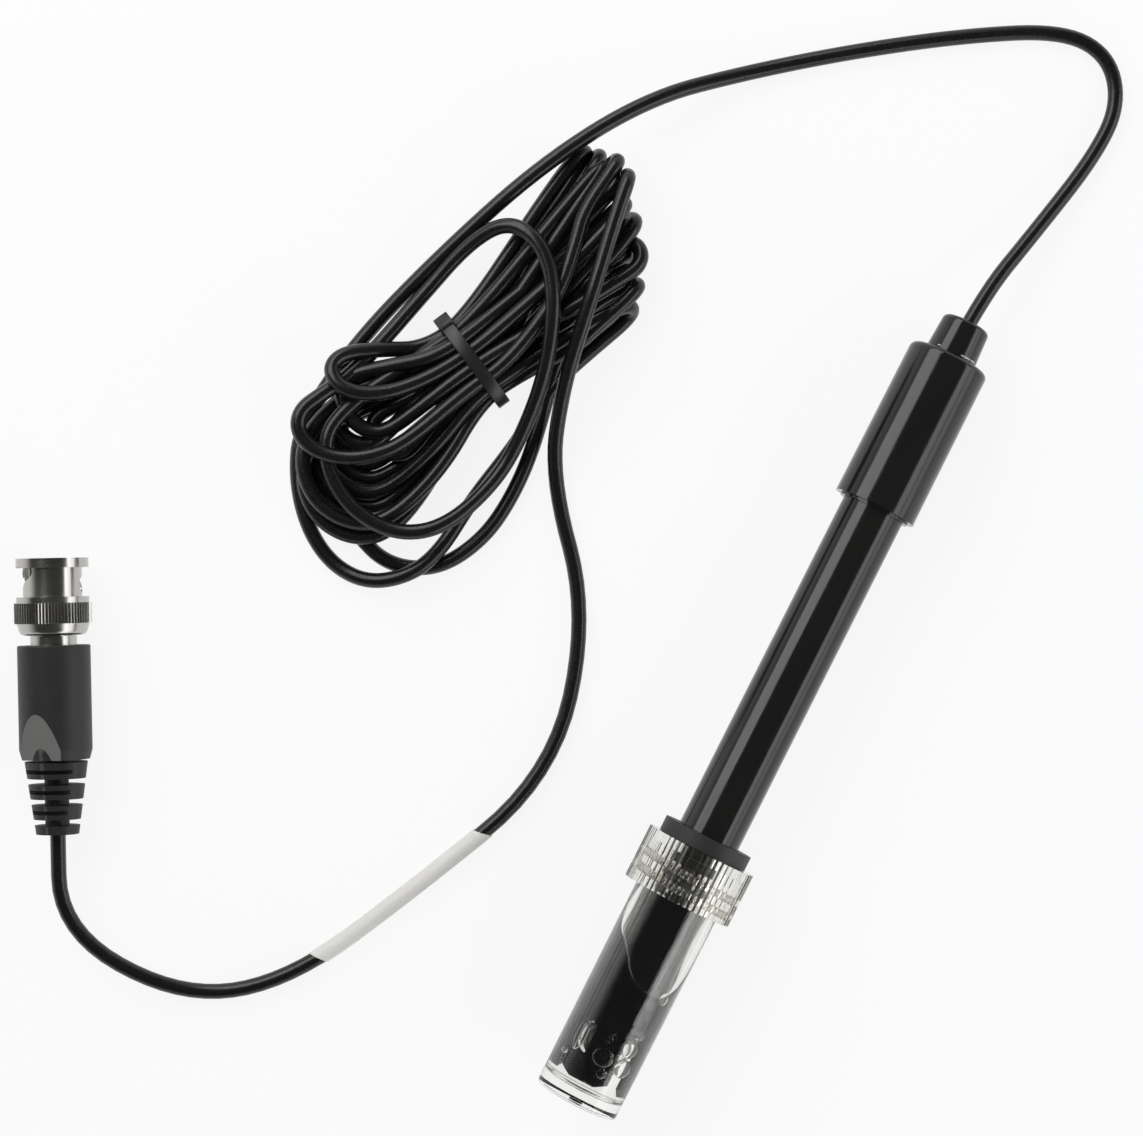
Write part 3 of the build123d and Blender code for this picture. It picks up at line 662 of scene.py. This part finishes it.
def thread(name, turns, root, crest, offset, body):
    """A ridge wound round the axis, between two radii, with tapered ends."""
    bm = bmesh.new()
    steps = int(THREAD_STEPS * turns)
    rings = []
    for step in range(steps + 1):
        angle = 360 * turns * step / steps
        station = THREAD_FIRST - THREAD_PITCH * angle / 360
        from_end = min(step, steps - step)
        full = min(1, END_FADE * from_end / steps + END_SHARE)
        tip = root + (crest - root) * full
        rings.append(
            [
                round_axis(station - RIDGE_HALF, root, -angle + offset),
                round_axis(station, tip, -angle + offset),
                round_axis(station + RIDGE_HALF, root, -angle + offset),
            ]
        )
    skin(bm, rings)
    return make_piece(name, bm, body, smooth=False)


bottle_thread = thread("bottle_thread", turns=1.75, root=8.1, crest=8.8, offset=0, body="bottle")
cap_thread = thread("cap_thread", turns=2.0, root=9.05, crest=8.35, offset=180, body="screw_cap")

# %% [markdown]
# ## Storage liquid with its air
# The bottle is full, and it is the liquid that makes the dark shaft look as wide as the bore. The
# liquid is a sleeve between shaft and wall and a plug below the tip. It reaches a little into the
# wall, so that light passes from plastic into liquid with no air between. A pocket of air lies under
# the cap and bubbles along the right. They could be cut out with a Boolean; here each is a
# cushion-shaped hollow whose faces look inwards, in the same mesh, which is lighter and always closes.
# A fuller cushion has a tighter rim: the pocket's edge is crisp, the bubbles are rounder.

# %% Liquid
LIQUID_TOP = 114.2
GUARD_TOP = 145.2
INTO_WALL = 0.12
INTO_SHAFT = 0.06
CORE_RADIUS = 0.05
ROUND_STEPS = 96
CUSHION_STEPS = 12
BUBBLE_STEPS = 28
BUBBLE_RADIUS = 6.5
BUBBLE_HALF = 0.40

liquid_mesh = bmesh.new()
bed_radius = bore_radius(BOTTLE_BED)
# station and radius, from the top at the shaft round by the wall and the rounded foot
outline = [
    (LIQUID_TOP, SHAFT_RADIUS - INTO_SHAFT),
    (LIQUID_TOP, bore_radius(LIQUID_TOP) + INTO_WALL),
    (BOTTLE_BED - 1.2, bed_radius + INTO_WALL),
    (BOTTLE_BED - 0.35, bed_radius - 0.45),
    (BOTTLE_BED + INTO_SHAFT, bed_radius - 1.6),
    (BOTTLE_BED + INTO_SHAFT, CORE_RADIUS),
    (GUARD_TOP, CORE_RADIUS),
    (GUARD_TOP, SHAFT_RADIUS - INTO_SHAFT),
]
around = [360 * k / ROUND_STEPS for k in range(ROUND_STEPS)]
skin(liquid_mesh, [[round_axis(s, r, angle) for angle in around] for s, r in outline], closed=True)


def smooth_loop(points, per_side):
    """A closed Catmull-Rom curve through a few (angle, station) points."""
    loop = []
    for i in range(len(points)):
        a, b, c, d = (Vector(points[(i + k) % len(points)]) for k in (-1, 0, 1, 2))
        for step in range(per_side):
            t = step / per_side
            square = (2 * a - 5 * b + 4 * c - d) * t**2
            cube = (3 * b - a - 3 * c + d) * t**3
            loop.append(0.5 * (2 * b + (c - a) * t + square + cube))
    return loop


def hollow(bm, loop, half, fullness):
    """A cushion of air inside a loop of (angle, station), with its faces turned inwards."""
    middle = sum(loop, Vector((0, 0))) / len(loop)
    mid_radius = (SHAFT_RADIUS + bore_radius(middle.y)) / 2
    shares = [sin(pi / 2 * k / CUSHION_STEPS) for k in range(1, CUSHION_STEPS + 1)]
    rings = []
    for side in (1, -1):
        for share in shares if side == 1 else shares[-2::-1]:
            lift = side * half * (1 - share**fullness) ** 0.5
            spots = [middle + (p - middle) * share for p in loop]
            rings.append([round_axis(p.y, mid_radius + lift, p.x) for p in spots])
    faces = skin(bm, rings)
    bmesh.ops.reverse_faces(bm, faces=faces)


# the pocket's outline: angle and station
pocket = [
    (-40, 116.0),
    (-70, 118.2),
    (-90, 121.5),
    (-94, 125.5),
    (-78, 128.6),
    (-52, 130.6),
    (-36, 132.4),
    (-22, 134.6),
    (0, 136.6),
    (30, 137.4),
    (58, 136.2),
    (82, 133.4),
    (96, 129.0),
    (97, 123.5),
    (84, 118.6),
    (50, 115.8),
    (0, 115.0),
]
hollow(liquid_mesh, smooth_loop(pocket, per_side=6), half=0.42, fullness=18)
# bubbles: angle, station, half width and half length in mm
bubbles = [
    (32.0, 138.9, 1.3, 1.3),
    (52.0, 137.0, 1.3, 1.3),
    (37.0, 141.0, 0.8, 0.8),
    (27.0, 144.3, 0.9, 0.8),
    (43.0, 144.6, 1.2, 1.1),
    (36.0, 147.7, 2.0, 1.8),
    (41.0, 151.5, 2.1, 1.8),
    (3.0, 151.0, 1.9, 1.8),
    (12.0, 153.8, 1.0, 1.0),
    (-63.0, 153.2, 0.7, 0.7),
    (-46.0, 149.0, 1.3, 3.2),
    (2.0, 146.3, 0.35, 0.35),
    (1.0, 147.2, 0.4, 0.4),
    (-1.0, 148.1, 0.3, 0.3),
]
for angle, station, wide, long in bubbles:
    reach = degrees(wide / BUBBLE_RADIUS)
    loop = []
    for k in range(BUBBLE_STEPS):
        t = 2 * pi * k / BUBBLE_STEPS
        loop.append(Vector((angle + reach * cos(t), station + long * sin(t))))
    hollow(liquid_mesh, loop, half=min(BUBBLE_HALF, wide), fullness=8)
liquid = make_piece("storage_liquid", liquid_mesh, "bottle")
print("bubbles", len(bubbles))

# %% [markdown]
# ## Small marks
# A moulded bottle has a gate mark in the middle of its base, where the plastic went in: a small dark
# button just inside the base. At the seam of bush and cap a little glue has come out and dried white.
# Both could be painted on; as small pieces they catch the light and show from every side.

# %% Gate mark and glue
GATE_STEPS = 24
GLUE_STATION = 6.55
GLUE_RADIUS = 4.93
GLUE_SHAPE = (1.6, 0.7, 0.8)
GLUE_ROUGH = 0.35
GLUE_PHASE = 9
GLUE_WAVE = 4000

gate_mesh = bmesh.new()
# depth in from the base and radius
gate = [(0.5, 0.25), (0.45, 0.85), (0.12, 0.95), (0.1, 0.3)]
gate_around = [360 * k / GATE_STEPS for k in range(GATE_STEPS)]
skin(gate_mesh, [[round_axis(BOTTLE_END - d, r, angle) for angle in gate_around] for d, r in gate])
gate_mark = make_piece("gate_mark", gate_mesh, "bottle")

glue_mesh = bmesh.new()
# angle round the axis and size
glue_spots = [(18, 0.30), (27, 0.42), (33, 0.26), (44, 0.36), (52, 0.22), (-38, 0.24)]
for angle, size in glue_spots:
    lump = bmesh.ops.create_icosphere(glue_mesh, subdivisions=2, radius=size * MM)
    place = round_axis(GLUE_STATION, GLUE_RADIUS, angle)
    for vert in lump["verts"]:
        stretch = 1 + GLUE_ROUGH * sin(GLUE_PHASE * angle + GLUE_WAVE * vert.co.x)
        vert.co = Vector(a * b for a, b in zip(vert.co, GLUE_SHAPE)) * stretch + place
glue = make_piece("glue_specks", glue_mesh, "electrode")

# %% [markdown]
# ## Materials
# Two node groups are shared. *Wear* gives broad patches, fine grain and hair scratches from noise in
# object space, so that it stays on the piece when it moves. *Spread* turns such a value into a range of
# roughness. Painted images could do the same, but these need no files and fit any shape. Each material
# then mixes two near shades, varies its gloss and adds a little relief.

# %% Node groups
def new_group(name, inputs, outputs):
    """A node group with named sockets, and its two end nodes."""
    group = bpy.data.node_groups.new(name, "ShaderNodeTree")
    for title, kind in inputs:
        group.interface.new_socket(title, in_out="INPUT", socket_type=kind)
    for title, kind in outputs:
        group.interface.new_socket(title, in_out="OUTPUT", socket_type=kind)
    return group, group.nodes.new("NodeGroupInput"), group.nodes.new("NodeGroupOutput")


wear, wear_in, wear_out = new_group(
    "wear",
    [("Size", "NodeSocketFloat")],
    [("Patches", "NodeSocketFloat"), ("Grain", "NodeSocketFloat"), ("Scratches", "NodeSocketFloat")],
)
object_place = wear.nodes.new("ShaderNodeTexCoord")
# each pattern's scale, detail and stretch
patterns = {"Patches": (1, 3, None), "Grain": (11, 2, None), "Scratches": (2.5, 2, (9, 0.6, 9))}
for title, (factor, detail, stretch) in patterns.items():
    noise = wear.nodes.new("ShaderNodeTexNoise")
    noise.inputs["Detail"].default_value = detail
    scale = wear.nodes.new("ShaderNodeMath")
    scale.operation = "MULTIPLY"
    scale.inputs[1].default_value = factor
    wear.links.new(wear_in.outputs["Size"], scale.inputs[0])
    wear.links.new(scale.outputs["Value"], noise.inputs["Scale"])
    source = object_place.outputs["Object"]
    if stretch:
        squeeze = wear.nodes.new("ShaderNodeVectorMath")
        squeeze.operation = "MULTIPLY"
        squeeze.inputs[1].default_value = stretch
        wear.links.new(source, squeeze.inputs[0])
        source = squeeze.outputs["Vector"]
    wear.links.new(source, noise.inputs["Vector"])
    wear.links.new(noise.outputs["Fac"], wear_out.inputs[title])

spread, spread_in, spread_out = new_group(
    "spread",
    [("Value", "NodeSocketFloat"), ("Low", "NodeSocketFloat"), ("High", "NodeSocketFloat")],
    [("Result", "NodeSocketFloat")],
)
stretch_range = spread.nodes.new("ShaderNodeMapRange")
stretch_range.inputs["From Min"].default_value = 0.3
stretch_range.inputs["From Max"].default_value = 0.7
spread.links.new(spread_in.outputs["Value"], stretch_range.inputs["Value"])
spread.links.new(spread_in.outputs["Low"], stretch_range.inputs["To Min"])
spread.links.new(spread_in.outputs["High"], stretch_range.inputs["To Max"])
spread.links.new(stretch_range.outputs["Result"], spread_out.inputs["Result"])
print("groups", [g.name for g in bpy.data.node_groups])

# %% [markdown]
# One function builds a material on those groups: two shades, a range of roughness, the size of the
# wear, how deep its relief is and which of the three patterns makes it. Each finish could have a tree
# of its own; made this way, they differ only in the numbers that matter.

# %% Material maker
def surface(name, shade_a, shade_b, rough, size, relief, pattern="Grain", metal=0.0, clear=0.0, ior=1.5):
    """A material of two mixed shades, with a range of roughness and a relief in mm."""
    material = bpy.data.materials.new(name)
    material.use_nodes = True
    tree = material.node_tree
    shader = tree.nodes["Principled BSDF"]
    shader.inputs["Metallic"].default_value = metal
    shader.inputs["Transmission Weight"].default_value = clear
    shader.inputs["IOR"].default_value = ior
    worn = tree.nodes.new("ShaderNodeGroup")
    worn.node_tree = wear
    worn.inputs["Size"].default_value = size
    shades = tree.nodes.new("ShaderNodeMix")
    shades.data_type = "RGBA"
    shades.inputs["A"].default_value = (*shade_a, 1)
    shades.inputs["B"].default_value = (*shade_b, 1)
    tree.links.new(worn.outputs["Patches"], shades.inputs["Factor"])
    tree.links.new(shades.outputs["Result"], shader.inputs["Base Color"])
    gloss = tree.nodes.new("ShaderNodeGroup")
    gloss.node_tree = spread
    gloss.inputs["Low"].default_value = rough[0]
    gloss.inputs["High"].default_value = rough[1]
    tree.links.new(worn.outputs[pattern], gloss.inputs["Value"])
    tree.links.new(gloss.outputs["Result"], shader.inputs["Roughness"])
    if relief:
        bump = tree.nodes.new("ShaderNodeBump")
        bump.inputs["Strength"].default_value = 1.0
        bump.inputs["Distance"].default_value = relief * MM
        tree.links.new(worn.outputs[pattern], bump.inputs["Height"])
        tree.links.new(bump.outputs["Normal"], shader.inputs["Normal"])
    return material


gloss_black = surface(
    "gloss_black", (0.009, 0.009, 0.009), (0.013, 0.013, 0.012), rough=(0.09, 0.17),
    size=90, relief=0.0015, pattern="Scratches",
)
jacket = surface(
    "cable_jacket", (0.006, 0.006, 0.006), (0.009, 0.009, 0.009), rough=(0.22, 0.32),
    size=140, relief=0.010,
)
nylon = surface(
    "black_nylon", (0.011, 0.011, 0.011), (0.017, 0.017, 0.017), rough=(0.28, 0.40),
    size=260, relief=0.006,
)
rubber = surface(
    "black_rubber", (0.018, 0.018, 0.017), (0.028, 0.028, 0.027), rough=(0.48, 0.62),
    size=220, relief=0.02,
)
film = surface(
    "label_film", (0.80, 0.79, 0.76), (0.88, 0.87, 0.84), rough=(0.38, 0.52),
    size=160, relief=0.004,
)
clear_plastic = surface(
    "clear_plastic", (0.95, 0.95, 0.93), (0.99, 0.99, 0.98), rough=(0.0, 0.012),
    size=120, relief=0, pattern="Patches", clear=1.0, ior=1.46,
)
clear_cap = surface(
    "clear_cap", (0.86, 0.85, 0.81), (0.92, 0.91, 0.88), rough=(0.03, 0.09),
    size=160, relief=0.001, pattern="Patches", clear=1.0, ior=1.46,
)
liquid_look = surface(
    "storage_liquid", (0.98, 0.98, 0.97), (1.0, 1.0, 1.0), rough=(0.0, 0.004),
    size=90, relief=0, pattern="Patches", clear=1.0, ior=1.33,
)
glass = surface(
    "clear_glass", (0.95, 0.97, 0.96), (1.0, 1.0, 1.0), rough=(0.0, 0.02),
    size=100, relief=0, pattern="Patches", clear=1.0, ior=1.5,
)
nickel = surface(
    "nickel", (0.44, 0.43, 0.41), (0.52, 0.51, 0.49), rough=(0.17, 0.27),
    size=160, relief=0, pattern="Patches", metal=1.0,
)
silver = surface(
    "silver", (0.60, 0.59, 0.57), (0.74, 0.73, 0.71), rough=(0.28, 0.42),
    size=300, relief=0.003, pattern="Scratches", metal=1.0,
)
copper = surface(
    "copper", (0.62, 0.30, 0.17), (0.78, 0.42, 0.26), rough=(0.25, 0.4),
    size=300, relief=0.003, pattern="Scratches", metal=1.0,
)
gilt = surface(
    "gilt_brass", (0.62, 0.45, 0.18), (0.76, 0.58, 0.27), rough=(0.2, 0.32),
    size=300, relief=0.002, pattern="Scratches", metal=1.0,
)
white_plug = surface(
    "white_insulator", (0.74, 0.73, 0.70), (0.82, 0.81, 0.78), rough=(0.38, 0.5),
    size=260, relief=0.004,
)
ceramic = surface(
    "white_ceramic", (0.70, 0.69, 0.65), (0.80, 0.79, 0.75), rough=(0.6, 0.75),
    size=320, relief=0.02,
)
resin = surface(
    "resin", (0.55, 0.54, 0.50), (0.72, 0.71, 0.68), rough=(0.3, 0.5),
    size=300, relief=0.01,
)
potting = surface(
    "potting", (0.020, 0.019, 0.018), (0.035, 0.033, 0.030), rough=(0.35, 0.55),
    size=260, relief=0.008,
)
print("materials", len(bpy.data.materials))

# %% [markdown]
# ## Boot rubber
# The boot is matte. On the real boot the sloping grip flats are finer in texture and catch more light; here
# that light is a painted sheen, a paler colour on the flats. The flats are found by their direction: a face
# whose normal lies along a flat's own normal is a flat. The normal comes from the piece itself, so the
# painted sheen stays on the flat from every side.

# %% Boot rubber
PLUG_HEADING = radians(118.1)
BOOT_TURNED = radians(22.5)
FLAT_FALL = 2.0
FLAT_LENGTH = 8.6
FLAT_FROM = 0.990
FLAT_FULL = 0.996
# painted sheen: the paler colour the grip flats get for the light they catch
PAINTED_FLAT_SHEEN = (0.17, 0.171, 0.166)

flat_slope = FLAT_FALL / FLAT_LENGTH
boot_axis = Vector((-cos(PLUG_HEADING), -sin(PLUG_HEADING), 0))
boot_left = boot_axis.cross(up)
boot_top = up * cos(BOOT_TURNED) + boot_left * sin(BOOT_TURNED)
boot_rubber = surface(
    "boot_rubber", (0.011, 0.012, 0.011), (0.018, 0.019, 0.018), rough=(0.46, 0.60),
    size=240, relief=0.012,
)
tree = boot_rubber.node_tree
shader = tree.nodes["Principled BSDF"]
facing = tree.nodes.new("ShaderNodeTexCoord")
likeness = []
for side in (1, -1):
    dot = tree.nodes.new("ShaderNodeVectorMath")
    dot.operation = "DOT_PRODUCT"
    dot.inputs[1].default_value = (boot_top * side + boot_axis * flat_slope).normalized()
    tree.links.new(facing.outputs["Normal"], dot.inputs[0])
    likeness.append(dot)
either = tree.nodes.new("ShaderNodeMath")
either.operation = "MAXIMUM"
tree.links.new(likeness[0].outputs["Value"], either.inputs[0])
tree.links.new(likeness[1].outputs["Value"], either.inputs[1])
is_flat = tree.nodes.new("ShaderNodeMapRange")
is_flat.inputs["From Min"].default_value = FLAT_FROM
is_flat.inputs["From Max"].default_value = FLAT_FULL
tree.links.new(either.outputs["Value"], is_flat.inputs["Value"])
# the flats get the paler colour, a painted sheen in place of the light they catch
flat_sheen = tree.nodes.new("ShaderNodeMix")
flat_sheen.data_type = "RGBA"
flat_sheen.inputs["B"].default_value = (*PAINTED_FLAT_SHEEN, 1)
tree.links.new(is_flat.outputs["Result"], flat_sheen.inputs["Factor"])
tree.links.new(shader.inputs["Base Color"].links[0].from_socket, flat_sheen.inputs["A"])
tree.links.new(flat_sheen.outputs["Result"], shader.inputs["Base Color"])
print("flat faces", [round(x, 2) for x in boot_top])

# %% [markdown]
# ## Paint
# Each CAD node and each piece made here gets its material. The list could follow the order of the
# pieces; it goes by finish instead, so that a change of finish is made in one place.

# %% Paint everything
looks = {
    "body_tube body_cap cap_seal cable_bush": gloss_black,
    "seal_grommet mating_gasket": rubber,
    "storage_bottle": clear_plastic,
    "bottle_cap": clear_cap,
    "coupling_nut plug_body rear_collar spring_washer crimp_ferrule": nickel,
    "plug_boot": boot_rubber,
    "glass_stem": glass,
    "measuring_wire reference_wire": silver,
    "core_conductor shield_pigtail plug_core": copper,
    "centre_pin": gilt,
    "contact_insulator": white_plug,
    "junction": ceramic,
    "stem_seal stem_stopper": potting,
    "cable_lead cable_hank cable_tail cable_in_boot": jacket,
    "cable_tie": nylon,
    "cable_label": film,
}
for names, look in looks.items():
    for name in names.split():
        nodes[name].data.materials.clear()
        nodes[name].data.materials.append(look)
painted = [
    (cable, jacket),
    (tie, nylon),
    (label, film),
    (bottle_thread, clear_plastic),
    (cap_thread, clear_cap),
    (liquid, liquid_look),
    (gate_mark, potting),
    (glue, resin),
]
for piece, look in painted:
    piece.data.materials.append(look)
bare = set(nodes) - set(" ".join(looks).split())
print("painted", len(nodes) - len(bare), "nodes and", len(painted), "pieces; left over", sorted(bare))

# %% [markdown]
# ## Update
# The view layer is brought up to date once more.

# %% Update
bpy.context.view_layer.update()
